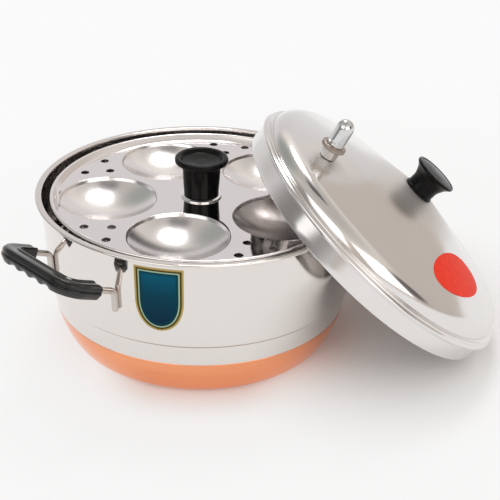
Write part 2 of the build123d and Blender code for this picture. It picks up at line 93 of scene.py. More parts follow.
def rounded(points, radii, fine=5.0):
    """A bent line, flat or in space: runs joined by arcs that touch both, one point each fine degrees."""
    points = np.asarray(points, float)
    out = [points[:1]]
    for before, corner, after, radius in zip(points[:-2], points[1:-1], points[2:], radii):
        a = unit(before - corner)
        b = unit(after - corner)
        half = math.acos(float(np.clip(a @ b, -1, 1))) / 2
        if radius <= 0 or half > math.radians(89.5):
            out.append(corner[None])
            continue
        room = radius / math.tan(half)
        middle = corner + unit(a + b) * radius / math.sin(half)
        first = corner + a * room - middle
        last = corner + b * room - middle
        turn = math.pi - 2 * half
        t = np.linspace(0, 1, max(3, int(math.degrees(turn) / fine) + 2))[:, None]
        out.append(middle + (np.sin((1 - t) * turn) * first + np.sin(t * turn) * last) / math.sin(turn))
    out.append(points[-1:])
    return np.concatenate(out)


def refined(profile, longest):
    """The same line, with its long runs cut into pieces no longer than longest."""
    profile = np.asarray(profile, float)
    gaps = np.linalg.norm(np.diff(profile, axis=0), axis=1)
    counts = np.maximum(1, np.ceil(gaps / longest).astype(int))
    runs = [p + (q - p) * np.linspace(0, 1, n, endpoint=False)[:, None]
            for p, q, n in zip(profile[:-1], profile[1:], counts)]
    return np.concatenate(runs + [profile[-1:]])


def quads(rows, cols, wrap_rows=False, wrap_cols=True, turned=False):
    """Faces between neighbours on a rows by cols grid, which may wrap; turned ones face the other way."""
    i = np.arange(rows if wrap_rows else rows - 1)[:, None]
    j = np.arange(cols if wrap_cols else cols - 1)[None]
    i2 = (i + 1) % rows
    j2 = (j + 1) % cols
    corners = np.stack((i * cols + j, i * cols + j2, i2 * cols + j2, i2 * cols + j), -1).reshape(-1, 4)
    return corners[:, [0, 3, 2, 1]] if turned else corners


def fan(hub, ring, turned=False):
    """Triangles from the hub point to a closed ring of points; turned ones face the other way."""
    hubs = np.full(len(ring), hub)
    following = np.roll(ring, -1)
    return np.stack((hubs, following, ring) if turned else (hubs, ring, following), -1).tolist()


def lathe(profile, turns):
    """Point (i, j) is profile point i turned about Z by j / turns of a circle. Ends on the axis are poles."""
    profile = np.asarray(profile, float)
    keep = np.append(True, np.linalg.norm(np.diff(profile, axis=0), axis=1) > 1e-6)
    profile = profile[keep]
    low_pole = profile[0, 0] < 1e-9
    high_pole = profile[-1, 0] < 1e-9
    closed = np.linalg.norm(profile[0] - profile[-1]) < 1e-6
    if closed:
        profile = profile[:-1]
    body = profile[int(low_pole):len(profile) - int(high_pole)]
    t = np.linspace(0, 2 * np.pi, turns, endpoint=False)
    grid = np.stack((body[:, :1] * np.cos(t), body[:, :1] * np.sin(t),
                     np.broadcast_to(body[:, 1:], (len(body), turns))), -1)
    verts = grid.reshape(-1, 3)
    faces = quads(len(body), turns, wrap_rows=closed).tolist()
    ring = np.arange(turns)
    if low_pole:
        verts = np.vstack((verts, (0, 0, profile[0, 1])))
        faces += fan(len(verts) - 1, ring, turned=True)
    if high_pole:
        verts = np.vstack((verts, (0, 0, profile[-1, 1])))
        faces += fan(len(verts) - 1, (len(body) - 1) * turns + ring)
    return verts, faces


def piece(name, part, *materials, sharp=40, weld=False):
    """A mesh object from points in millimetres, smooth but for edges turned by more than sharp degrees."""
    mesh = bpy.data.meshes.new(name)
    mesh.from_pydata((part[0] * mm).tolist(), [], part[1])
    if weld:
        work = bmesh.new()
        work.from_mesh(mesh)
        bmesh.ops.remove_doubles(work, verts=work.verts, dist=2e-6)
        work.to_mesh(mesh)
        work.free()
    mesh.polygons.foreach_set("use_smooth", np.ones(len(mesh.polygons), bool))
    mesh.set_sharp_from_angle(angle=math.radians(sharp))
    mesh.update()
    for material in materials:
        mesh.materials.append(material)
    obj = bpy.data.objects.new(name, mesh)
    bpy.context.scene.collection.objects.link(obj)
    return obj


def corner_contour(inset):
    """The pot's lower corner, from flat base to low wall: two tangent arcs, drawn in by inset."""
    run = LOW_WALL_R - BASE_FLAT_R
    small = CORNER_SMALL_R
    big = (run ** 2 + (CORNER_Z - small) ** 2 - small ** 2) / (run - small) / 2
    centre = np.array((LOW_WALL_R - big, CORNER_Z))
    little = np.array((BASE_FLAT_R, small))
    turn = math.degrees(math.atan2(little[1] - centre[1], little[0] - centre[0]))
    return np.vstack((arc(little, small - inset, -90, turn, 14), arc(centre, big - inset, turn, 0, 28)))


def wall_r(z):
    """Outer radius of the wall above the step."""
    return WALL_STEP_R + WALL_LEAN * (z - WALL_STEP_Z)


def pot_contour():
    """The steel's closed section: under the copper, up the wall, round the rim and back down inside."""
    low = corner_contour(COPPER_GAUGE)
    low = low[low[:, 1] < COPPER_LINE_Z - 0.3]
    full = corner_contour(0)
    edge_r = float(np.interp(COPPER_LINE_Z, full[:, 1], full[:, 0]))
    full = full[full[:, 1] > COPPER_LINE_Z + 0.4]
    ledge = [(edge_r - COPPER_GAUGE, COPPER_LINE_Z), (edge_r - 0.12, COPPER_LINE_Z),
             (edge_r, COPPER_LINE_Z + 0.12)]
    step = rounded([full[-1], (LOW_WALL_R + 0.05, CORNER_Z + 0.6), (WALL_STEP_R + 0.1, WALL_STEP_Z + 0.3),
                    (wall_r(60), 60)], [1.4, 1.6])
    roll_z = RIM_TOP - ROLL_R
    inner_r = WALL_TOP_R - POT_GAUGE
    under_r = wall_r(roll_z - ROLL_R)
    fillet = rounded([(under_r - 0.05, roll_z - ROLL_R - 2.4), (under_r, roll_z - ROLL_R),
                      (under_r + 2.0, roll_z - ROLL_R)], [0.5], 12.0)
    roll = arc((RIM_R - ROLL_R, roll_z), ROLL_R, -90, 90, 20)
    roll_in = arc((inner_r + ROLL_R, roll_z), ROLL_R, 90, 180, 12)
    inner = corner_contour(POT_GAUGE)[::-1]
    inner_step = rounded([(inner_r, roll_z),
                          (WALL_STEP_R - POT_GAUGE + 0.1, WALL_STEP_Z + 0.3),
                          (LOW_WALL_R - POT_GAUGE, CORNER_Z + 0.6), inner[0]], [1.6, 1.4])
    return np.vstack(([(0, COPPER_GAUGE)], low, ledge, full, step[1:],
                      fillet, roll, roll_in, inner_step, inner[1:], [(0, POT_GAUGE)]))


def shader(name, colour, roughness, specular=0.5, metallic=0.0):
    """A new material, with its node tree."""
    material = bpy.data.materials.new(name)
    material.use_nodes = True
    tree = material.node_tree
    entries = tree.nodes["Principled BSDF"].inputs
    entries["Base Color"].default_value = (*colour, 1)
    entries["Roughness"].default_value = roughness
    entries["Specular IOR Level"].default_value = specular
    entries["Metallic"].default_value = metallic
    return material, tree


def node(tree, kind, **values):
    """A new node; values set its properties, or its inputs where the name is an input's."""
    made = tree.nodes.new(kind)
    for key, value in values.items():
        if hasattr(made, key):
            setattr(made, key, value)
        else:
            made.inputs[key].default_value = value
    return made


def fill(tree, entry, value):
    """Links a socket to an entry, or sets it where the value is a number, a place or a colour."""
    if isinstance(value, bpy.types.NodeSocket):
        tree.links.new(value, entry)
    else:
        entry.default_value = (*value, 1) if entry.type == "RGBA" else value


def feed(tree, name, value):
    """Links a socket to one of the inputs of the tree's Principled shader."""
    tree.links.new(value, tree.nodes["Principled BSDF"].inputs[name])


def math_node(tree, operation, a, b=0.5):
    """One Math node; a and b are sockets or numbers."""
    made = node(tree, "ShaderNodeMath", operation=operation)
    fill(tree, made.inputs[0], a)
    fill(tree, made.inputs[1], b)
    return made.outputs[0]


def ranged(tree, value, low, high, to_low=0.0, to_high=1.0, eased=False):
    """A Map Range node: value from low to high becomes to_low to to_high, straight or eased at both ends."""
    made = node(tree, "ShaderNodeMapRange", interpolation_type="SMOOTHSTEP" if eased else "LINEAR")
    for name, entry in zip(("Value", "From Min", "From Max", "To Min", "To Max"),
                           (value, low, high, to_low, to_high)):
        fill(tree, made.inputs[name], entry)
    return made.outputs[0]


def blended(tree, factor, a, b):
    """Mix of two colours; each is a socket or a colour."""
    made = node(tree, "ShaderNodeMix", data_type="RGBA")
    fill(tree, made.inputs["Factor"], factor)
    fill(tree, made.inputs["A"], a)
    fill(tree, made.inputs["B"], b)
    return made.outputs["Result"]


def place_on(tree):
    """The place on the object, in metres from the middle of the pot's base."""
    return node(tree, "ShaderNodeTexCoord").outputs["Object"]


def split(tree, vector):
    """The three parts of a vector."""
    made = node(tree, "ShaderNodeSeparateXYZ")
    tree.links.new(vector, made.inputs[0])
    return made.outputs


def off_level(tree, level):
    """How far the surface is above or below a level, in metres; the level is in millimetres."""
    height = split(tree, place_on(tree))[2]
    return math_node(tree, "ABSOLUTE", math_node(tree, "SUBTRACT", height, level * mm))


def noise(tree, scale, detail, rough=0.5, vector=None):
    """A Noise Texture's grey value over a vector, or over the place on the object."""
    made = node(tree, "ShaderNodeTexNoise", Scale=scale, Detail=detail, Roughness=rough)
    tree.links.new(vector or place_on(tree), made.inputs["Vector"])
    return made.outputs["Fac"]


def raised(tree, height, strength, distance, under=None):
    """A Bump node's normal; under is a normal that it is laid on."""
    made = node(tree, "ShaderNodeBump", Strength=strength, Distance=distance)
    tree.links.new(height, made.inputs["Height"])
    if under is not None:
        tree.links.new(under, made.inputs["Normal"])
    return made.outputs[0]


def turning_marks(tree, place, fineness):
    """A vector that is steady round the axis of place and runs fast across it, as a wheel's marks do."""
    inverse = place.inverted()
    mapping = node(tree, "ShaderNodeMapping", Rotation=inverse.to_euler(), Location=inverse.translation * mm)
    tree.links.new(place_on(tree), mapping.inputs["Vector"])
    x, y, z = split(tree, mapping.outputs[0])
    r = math_node(tree, "SQRT", math_node(tree, "ADD", math_node(tree, "MULTIPLY", x, x),
                                          math_node(tree, "MULTIPLY", y, y)))
    safe = math_node(tree, "MAXIMUM", r, 0.0005)
    slant = math_node(tree, "ADD", r, math_node(tree, "MULTIPLY", z, 1.3))
    vector = node(tree, "ShaderNodeCombineXYZ")
    tree.links.new(math_node(tree, "DIVIDE", x, safe), vector.inputs[0])
    tree.links.new(math_node(tree, "DIVIDE", y, safe), vector.inputs[1])
    tree.links.new(math_node(tree, "MULTIPLY", slant, fineness), vector.inputs[2])
    return vector.outputs[0]


UPRIGHT = Matrix.Identity(4)


def polished_metal(name, colour, roughness, place=UPRIGHT, fineness=900.0, ripple=0.25, marks=0.04):
    """Wheel-polished sheet: fine marks round the axis, a faint long ripple and patches a little duller."""
    material, tree = shader(name, colour, roughness[0], metallic=1.0)
    fine = noise(tree, 1.0, 2.0, 0.6, turning_marks(tree, place, fineness))
    cloudy = noise(tree, 22.0, 3.0, 0.55)
    dull = math_node(tree, "ADD", math_node(tree, "MULTIPLY", cloudy, 0.7),
                     math_node(tree, "MULTIPLY", fine, 0.3))
    feed(tree, "Roughness", ranged(tree, dull, 0.3, 0.7, *roughness))
    wave = raised(tree, noise(tree, 9.0, 1.0, 0.4), ripple, 0.0006)
    feed(tree, "Normal", raised(tree, fine, marks, 0.00005, wave))
    return material


STEEL = (0.79, 0.75, 0.72)
pot_steel = polished_metal("pot_steel", STEEL, (0.05, 0.10), ripple=0.2)
satin_inside = polished_metal("pot_inside_steel", (0.80, 0.775, 0.75), (0.14, 0.22), marks=0.06)
# painted shade: a dark line is painted into the wall's groove, standing in for the groove's dark reflection
# of the shaded floor by the base
GROOVE_Z = 51.6
GROOVE_SHADE_TONE = (0.34, 0.27, 0.235)
tree = pot_steel.node_tree
painted_groove_shade = ranged(tree, off_level(tree, GROOVE_Z), 1.2 * mm, 0.5 * mm, eased=True)
feed(tree, "Base Color", blended(tree, painted_groove_shade, STEEL, GROOVE_SHADE_TONE))
pot_shell = piece("pot_shell_steel", lathe(refined(pot_contour(), 6.0), 288),
                  pot_steel, satin_inside, sharp=50)
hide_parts("pot_shell")
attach(pot_shell, "pot")
# the inside is satin
shell_faces = pot_shell.data.polygons
centres, facing = np.empty((2, len(shell_faces), 3))
shell_faces.foreach_get("center", centres.ravel())
shell_faces.foreach_get("normal", facing.ravel())
centres /= mm
inner_side = (facing * centres)[:, :2].sum(1) < 0
inner_side &= (centres[:, 2] > 2) & (centres[:, 2] < RIM_TOP - ROLL_R - 0.1)
inner_side |= (facing[:, 2] > 0.5) & (centres[:, 2] < 40)
shell_faces.foreach_set("material_index", inner_side.astype(np.int32))


# Copper base
# A thin copper cup bonded over the lower wall, corner and base. It is buffed bright on
# the side, and its underside has the turned rings of a base that is faced flat.
COPPER = (0.96, 0.41, 0.215)
DEEP_COPPER = (0.92, 0.345, 0.16)
RING_PITCH = 9.0
RING_DEPTH = 0.18


def copper_contour():
    """Closed section: the shallow turned rings of the base, the corner, the cut edge and back inside."""
    outer = corner_contour(0)
    inner = corner_contour(COPPER_GAUGE)
    edge_r = float(np.interp(COPPER_LINE_Z, outer[:, 1], outer[:, 0]))
    outer = outer[outer[:, 1] < COPPER_LINE_Z - 0.3]
    inner = inner[inner[:, 1] < COPPER_LINE_Z - 0.3]
    r = np.arange(0, BASE_FLAT_R - RING_PITCH / 2, RING_PITCH / 12)
    ring = RING_DEPTH * np.clip(np.cos(2 * np.pi * r / RING_PITCH), 0.6, 1) * 2.5 - RING_DEPTH * 1.5
    under = np.column_stack((r, np.clip(ring, 0, None)))
    lip = [(edge_r, COPPER_LINE_Z - 0.15), (edge_r - 0.12, COPPER_LINE_Z),
           (edge_r - COPPER_GAUGE, COPPER_LINE_Z)]
    return np.vstack((under, outer, lip, inner[::-1], [(0, COPPER_GAUGE)]))


copper = polished_metal("buffed_copper", COPPER, (0.10, 0.20), fineness=700.0, ripple=0.5, marks=0.12)
tree = copper.node_tree
buffing = noise(tree, 1.6, 3.0, 0.6, turning_marks(tree, UPRIGHT, 800.0))
feed(tree, "Base Color", blended(tree, ranged(tree, buffing, 0.35, 0.65), DEEP_COPPER, COPPER))
copper_base = piece("copper_base_cup", lathe(refined(copper_contour(), 5.0), 288), copper, sharp=50)
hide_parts("copper_base")
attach(copper_base, "pot")


# Handle wires
# 5 mm stainless wire, bent into a bow with two feet that are spot-welded to the wall.
HANDLE_TURNS = {side: Matrix.Rotation(math.radians(azimuth), 4, "Z")
                for side, azimuth in (("left", 225.6), ("right", 30.3))}
WIRE_R = 2.5
HALF_SPAN = 38.7
HANDLE_Z = 93.9
HANDLE_LEG = 16.0
HANDLE_RISE = math.radians(23.2)
HANDLE_REACH = 43.6
HEEL_R = 6.0
BOW_R = 13.5
WELD_GAP = 0.05


def capped(rings, low_end, high_end):
    """A closed body from a grid of rings, with a fan of triangles to a point at each end."""
    n, m = rings.shape[:2]
    ring = np.arange(m)
    faces = quads(n, m).tolist() + fan(n * m, ring, turned=True) + fan(n * m + 1, (n - 1) * m + ring)
    return np.vstack((rings.reshape(-1, 3), low_end, high_end)), faces


def moved(part, place):
    """The same surface, with its points carried by a 4x4 place given in millimetres."""
    m = np.array(place)
    return part[0] @ m[:3, :3].T + m[:3, 3], part[1]


def frames(path):
    """At each point of a path: its run, and two directions square to it that don't twist on the way."""
    run = unit(np.gradient(path, axis=0))
    side = np.empty_like(run)
    side[0] = unit(np.cross(run[0], (0.0, 1.0, 0.0)))
    for k in range(1, len(path)):
        side[k] = unit(side[k - 1] - run[k] * (side[k - 1] @ run[k]))
    return run, side, np.cross(run, side)


def tube(path, radius, around=28):
    """Point (i, j) is path point i plus a circle's point j; the circle shrinks to a dome at both ends."""
    run, side, third = frames(path)
    dome = np.linspace(0, np.pi / 2, 6)[:-1]
    start = path[:1] - run[:1] * radius * 0.5 * (np.cos(dome)[:, None])
    end = path[-1:] + run[-1:] * radius * 0.5 * (np.cos(dome)[::-1, None])
    sizes = radius * np.concatenate((np.sin(dome), np.ones(len(path)), np.sin(dome)[::-1]))
    spine = np.vstack((start, path, end))
    a, b = (np.pad(way, ((5, 5), (0, 0)), mode="edge")[:, None] for way in (side, third))
    t = np.linspace(0, 2 * np.pi, around, endpoint=False)[None, :, None]
    grid = spine[:, None] + sizes[:, None, None] * (np.cos(t) * a + np.sin(t) * b)
    return capped(grid[1:-1], spine[:1], spine[-1:])


leg_top_r = wall_r(HANDLE_Z) + WIRE_R + WELD_GAP
leg_x = math.sqrt(leg_top_r ** 2 - HALF_SPAN ** 2)
leg_lean = WALL_LEAN * HANDLE_LEG
far_x = leg_x + HANDLE_REACH * math.cos(HANDLE_RISE)
far_z = HANDLE_Z + HANDLE_REACH * math.sin(HANDLE_RISE)
bow = [(leg_x - leg_lean, -HALF_SPAN, HANDLE_Z - HANDLE_LEG), (leg_x, -HALF_SPAN, HANDLE_Z),
       (far_x, -HALF_SPAN, far_z), (far_x, HALF_SPAN, far_z),
       (leg_x, HALF_SPAN, HANDLE_Z), (leg_x - leg_lean, HALF_SPAN, HANDLE_Z - HANDLE_LEG)]
wire_path = refined(rounded(bow, [HEEL_R, BOW_R, BOW_R, HEEL_R], 6.0), 3.0)
handle_steel = polished_metal("handle_wire_steel", (0.60, 0.545, 0.51), (0.08, 0.16), fineness=400.0)
for side, turn in HANDLE_TURNS.items():
    wire = piece("handle_bow_" + side, moved(tube(wire_path, WIRE_R), turn), handle_steel)
    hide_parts("handle_wire_" + side)
    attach(wire, "pot")


# Handle grips
# Black phenolic, moulded round the bow. The top is flat with a raised inner edge, two
# ribs run round the outer side, and four finger hollows are pressed into the underside.
GRIP_HALF = 6.45
GRIP_ABOVE = 5.4
GRIP_BELOW = 6.4
GRIP_RIB = 0.65
GRIP_COVER = 27.0
HOLLOWS = 4
HOLLOW_PITCH = 13.0
HOLLOW_R = 8.5
HOLLOW_DEPTH = 1.7


def grip_section():
    """The bar's outline, x outwards and y up, counter-clockwise from the lower inner corner."""
    corners = [(-GRIP_HALF + 1.6, -GRIP_BELOW), (GRIP_HALF - 2.4, -GRIP_BELOW), (GRIP_HALF - 0.5, -3.6),
               (GRIP_HALF - 0.3, -2.6), (GRIP_HALF + GRIP_RIB, -2.2), (GRIP_HALF + GRIP_RIB, -0.5),
               (GRIP_HALF - 0.2, -0.1), (GRIP_HALF - 0.2, 0.5), (GRIP_HALF + GRIP_RIB, 0.9),
               (GRIP_HALF + GRIP_RIB - 0.1, 3.0), (GRIP_HALF - 1.2, 4.6), (GRIP_HALF - 3.6, 4.9),
               (-GRIP_HALF + 3.6, 4.5), (-GRIP_HALF + 2.4, GRIP_ABOVE), (-GRIP_HALF + 0.7, GRIP_ABOVE),
               (-GRIP_HALF, 3.4), (-GRIP_HALF, -4.4)]
    rounds = [1.2, 0.5, 0.4, 0.5, 0.6, 0.3, 0.3, 0.5, 0.7, 0.8, 1.6, 0.8, 0.5, 0.7, 1.6, 1.4]
    return refined(rounded(corners + [corners[0]], rounds, 12.0), 1.2)[:-1]


def hollows(spine):
    """How far the underside is drawn up at each spine point, from four round hollows side by side."""
    places = (np.arange(HOLLOWS) - (HOLLOWS - 1) / 2) * HOLLOW_PITCH
    away = np.abs(spine[:, 1:2] - places[None]).min(1)
    depth = HOLLOW_DEPTH - (HOLLOW_R - np.sqrt(np.maximum(HOLLOW_R ** 2 - away ** 2, 0)))
    straight = spine[:, 0] > -BOW_R * 0.9
    soft = 0.5 * np.sqrt(np.maximum(depth, 0) ** 2 + 0.04) + 0.5 * np.maximum(depth, 0) - 0.1
    return np.where(straight, np.maximum(soft, 0), 0)


def grip(section, spine):
    """Point (i, j) is spine point i plus section point j, drawn up at the hollows and in at the ends."""
    out = np.cross(unit(np.gradient(spine, axis=0)), (0.0, 0.0, 1.0))
    length = np.append(0, np.cumsum(np.linalg.norm(np.diff(spine, axis=0), axis=1)))
    end = np.minimum(length, length[-1] - length)
    shrink = 1 - 0.16 * np.clip(1 - end / 1.6, 0, 1) ** 2
    lift = hollows(spine)[:, None] * np.clip((-section[None, :, 1] - 1.0) / (GRIP_BELOW - 1.0), 0, 1)
    x = section[None, :, 0] * shrink[:, None]
    z = section[None, :, 1] * shrink[:, None] + lift
    grid = spine[:, None] + out[:, None] * x[..., None]
    grid[..., 2] += z
    return capped(grid, grid[0].mean(0), grid[-1].mean(0))


def black_moulding(name, rough, grain=0.12, gloss=0.12):
    """Phenolic moulding: near black, glossy from the tool, with a faint flow grain and some dull patches."""
    material, tree = shader(name, (0.004, 0.004, 0.0042), rough[0], gloss)
    patches = noise(tree, 60.0, 4.0, 0.6)
    feed(tree, "Roughness", ranged(tree, patches, 0.35, 0.7, *rough))
    feed(tree, "Base Color", blended(tree, patches, (0.0025, 0.0025, 0.0027), (0.006, 0.0058, 0.0058)))
    feed(tree, "Normal", raised(tree, noise(tree, 900.0, 2.0), grain, 0.0001))
    return material


grip_spine = refined(rounded([(-GRIP_COVER, -HALF_SPAN, 0), (0, -HALF_SPAN, 0), (0, HALF_SPAN, 0),
                              (-GRIP_COVER, HALF_SPAN, 0)], [BOW_R, BOW_R], 4.0), 0.7)
grip_shape = grip(grip_section(), grip_spine)
grip_black = black_moulding("grip_phenolic", (0.12, 0.26), gloss=0.6)
for side, turn in HANDLE_TURNS.items():
    at_bow = Matrix.Translation((far_x, 0, far_z)) @ Matrix.Rotation(-HANDLE_RISE, 4, "Y")
    hold = piece("handle_hold_" + side, moved(grip_shape, turn @ at_bow), grip_black, sharp=60)
    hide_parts("handle_grip_" + side)
    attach(hold, "pot")


# Shield label
# A printed foil on the wall: a gold edge, a thin pale line and a dark teal field. Its
# field is left plain.
SHIELD_AZIMUTH = 258.8
SHIELD_WIDTH = 36.6
SHIELD_TOP = 119.0
SHIELD_HEIGHT = 53.0
SHIELD_MIDDLE = 90
FOIL_GAP = 0.03
FOIL_GAUGE = 0.15


def shield_half_width(down):
    """Half the width at each share of the height: straight sides to the middle, then arcs to a point."""
    t = np.clip(2 * down - 1, 0, 1)
    return SHIELD_WIDTH / 2 * np.maximum(1 - t ** 2.3, 0) ** (1 / 2.1)


rows = np.concatenate((np.linspace(0, 0.5, 30), 0.5 + 0.5 * np.sin(np.linspace(0, np.pi / 2, 60))[1:]))
cols = np.linspace(-1, 1, 61)
across = shield_half_width(rows)[:, None] * cols[None]
down_share = rows[:, None] + 0 * cols[None]
heights = SHIELD_TOP - SHIELD_HEIGHT * down_share
angle = math.radians(SHIELD_AZIMUTH) + across / wall_r(SHIELD_MIDDLE)
back, front = (np.stack((r * np.cos(angle), r * np.sin(angle), heights), -1)
               for r in (wall_r(heights) + FOIL_GAP, wall_r(heights) + FOIL_GAP + FOIL_GAUGE))


def foil(front, back, round_grid=False):
    """Two like grids, the second behind the first, closed round their edge; a round grid's rows are rings."""
    n, m = front.shape[:2]
    if round_grid:
        edge = n * m - 1 - np.arange(m)
    else:
        edge = np.concatenate((np.arange(m), m * np.arange(1, n) + m - 1,
                               (n - 1) * m + np.arange(m - 2, -1, -1), m * np.arange(n - 2, 0, -1)))
    ahead_of = np.roll(edge, -1)
    rim = np.stack((edge, ahead_of, ahead_of + n * m, edge + n * m), -1)
    skin = quads(n, m, wrap_cols=round_grid, turned=True)
    faces = skin.tolist() + (skin[:, ::-1] + n * m).tolist() + rim.tolist()
    return np.vstack((front.reshape(-1, 3), back.reshape(-1, 3))), faces


shield = piece("shield_foil", foil(front, back), sharp=30)
flat_place = np.stack((across, -SHIELD_HEIGHT * down_share), -1)
fine_rows = np.linspace(0, 1, 240)
side_line = np.column_stack((shield_half_width(fine_rows), -SHIELD_HEIGHT * fine_rows))
top_line = np.column_stack((np.linspace(-1, 1, 80) * SHIELD_WIDTH / 2, np.zeros(80)))
outline = np.vstack((side_line, side_line * (-1, 1), top_line))
inward = np.linalg.norm(flat_place[:, :, None] - outline, axis=-1).min(-1)


def ramp(tree, value, stops):
    """The colour that a Color Ramp with the given (place, colour) stops has for value."""
    made = tree.nodes.new("ShaderNodeValToRGB")
    elements = made.color_ramp.elements
    while len(elements) < len(stops):
        elements.new(0.5)
    for element, (place, colour) in zip(elements, stops):
        element.position = place
        element.color = (*colour, 1)
    tree.links.new(value, made.inputs["Fac"])
    return made.outputs["Color"]


for name, grid in (("inward_mm", inward), ("down_share", down_share)):
    values = shield.data.attributes.new(name, "FLOAT", "POINT")
    values.data.foreach_set("value", np.tile(grid.ravel(), 2).astype(np.float32))
shield_paint, tree = shader("shield_enamel", (0.01, 0.12, 0.17), 0.3, 0.08)
edge_at = node(tree, "ShaderNodeAttribute", attribute_name="inward_mm").outputs["Fac"]
down_at = node(tree, "ShaderNodeAttribute", attribute_name="down_share").outputs["Fac"]
bands = ramp(tree, math_node(tree, "DIVIDE", edge_at, 10.0), [
    (0.0, (0.50, 0.40, 0.17)), (0.13, (0.40, 0.29, 0.09)), (0.17, (0.075, 0.045, 0.006)),
    (0.27, (0.06, 0.05, 0.01)), (0.31, (0.36, 0.52, 0.36)), (0.37, (0.33, 0.50, 0.38)),
    (0.41, (0.004, 0.03, 0.035)), (0.55, (0.0, 0.045, 0.07))])
field = ramp(tree, down_at, [(0.1, (0.0, 0.09, 0.16)), (0.45, (0.0, 0.045, 0.08)), (0.9, (0.0, 0.022, 0.05))])
feed(tree, "Base Color", blended(tree, ranged(tree, edge_at, 4.2, 7.0), bands, field))
feed(tree, "Normal", raised(tree, noise(tree, 420.0, 2.0), 0.06, 0.0001))
shield.data.materials.append(shield_paint)
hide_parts("pot_label")
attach(shield, "pot")


# Idli plates
# Thin stainless sheet, pressed in one go: shallow round cups with a stepped edge, three
# steam holes pierced between each pair of cups, and a raised edge that ends in a roll.
PLATE_R = 120.0
PLATE_GAUGE = 0.8
PLATE_TOP = 118.6
PLATE_SPACING = 46.0
EDGE_RISE = 4.6
EDGE_WIDTH = 6.0
EDGE_ROLL = 1.6
CUPS = 5
CUP_R = 39.0
CUP_CIRCLE = 74.0
CUP_DEPTH = 14.5
CUP_STEP = 2.4
CUP_INSET = 1.3
FIRST_CUP = 187.3
LOWER_TURN = 36.0
HOLE_R = 3.4
HOLE_OUTER = 105.3
HOLE_INNER = 89.0
HOLE_SPREAD = 7.6
BORE_R = 4.06
BEVEL = 0.25
CUP_LIP = 1.6
EDGE_BEND = 1.6
EDGE_STEPS = 288
CUP_STEPS = 120
HOLE_STEPS = 28
BORE_STEPS = 36


def lifted(z):
    """A place straight up the pot's axis."""
    return Matrix.Translation((0, 0, z))


def joined(*parts):
    """Several (points, faces) pairs as one."""
    starts = np.cumsum([0] + [len(v) for v, f in parts[:-1]])
    faces = [[k + int(s) for k in face] for s, (v, fs) in zip(starts, parts) for face in fs]
    return np.vstack([v for v, f in parts]), faces


def polar(r, azimuth):
    """The place at a radius and an angle in degrees about the axis."""
    return r * math.cos(math.radians(azimuth)), r * math.sin(math.radians(azimuth))


def cup_profile(grow, lip):
    """From the cup's middle out to the sheet: a bowl, a short stepped side and a rounded lip."""
    bowl_r = CUP_R - CUP_INSET
    sag = CUP_DEPTH - CUP_STEP
    ball = (bowl_r ** 2 + sag ** 2) / sag / 2
    middle = -CUP_DEPTH + ball
    reach = math.degrees(math.asin(bowl_r / ball))
    bowl = arc((0, middle), ball + grow, -90, -90 + reach, 40)
    edge = rounded([bowl[-1], (CUP_R + grow * 0.8, -grow), (lip, -grow)], [1.3 if grow else 1.0], 9.0)
    return np.vstack((bowl, edge[1:]))


def web(circles, z, face_up):
    """The flat sheet inside the first circle and outside the others, as triangles between their points."""
    points = np.vstack([arc(c, r, 0, 360, n + 1)[:-1] for c, r, n in circles])
    starts = np.cumsum([0] + [n for c, r, n in circles])
    edges = [(int(s + k), int(s + (k + 1) % n)) for s, (c, r, n) in zip(starts, circles) for k in range(n)]
    found = delaunay_2d_cdt([Vector(p) for p in points], edges, [], 0, 1e-7)
    verts = np.array([tuple(v) for v in found[0]])
    tris = np.array(found[2])
    middle = verts[tris].mean(1)
    first = np.linalg.norm(middle - circles[0][0], axis=1) < circles[0][1]
    for c, r, n in circles[1:]:
        first &= np.linalg.norm(middle - c, axis=1) > r
    tris = tris[first]
    a, b, c = (verts[tris[:, k]] for k in range(3))
    area = (b[:, 0] - a[:, 0]) * (c[:, 1] - a[:, 1]) - (b[:, 1] - a[:, 1]) * (c[:, 0] - a[:, 0])
    flip = (area > 0) != face_up
    tris[flip] = tris[flip][:, ::-1]
    return np.column_stack((verts, np.full(len(verts), z))), tris.tolist()


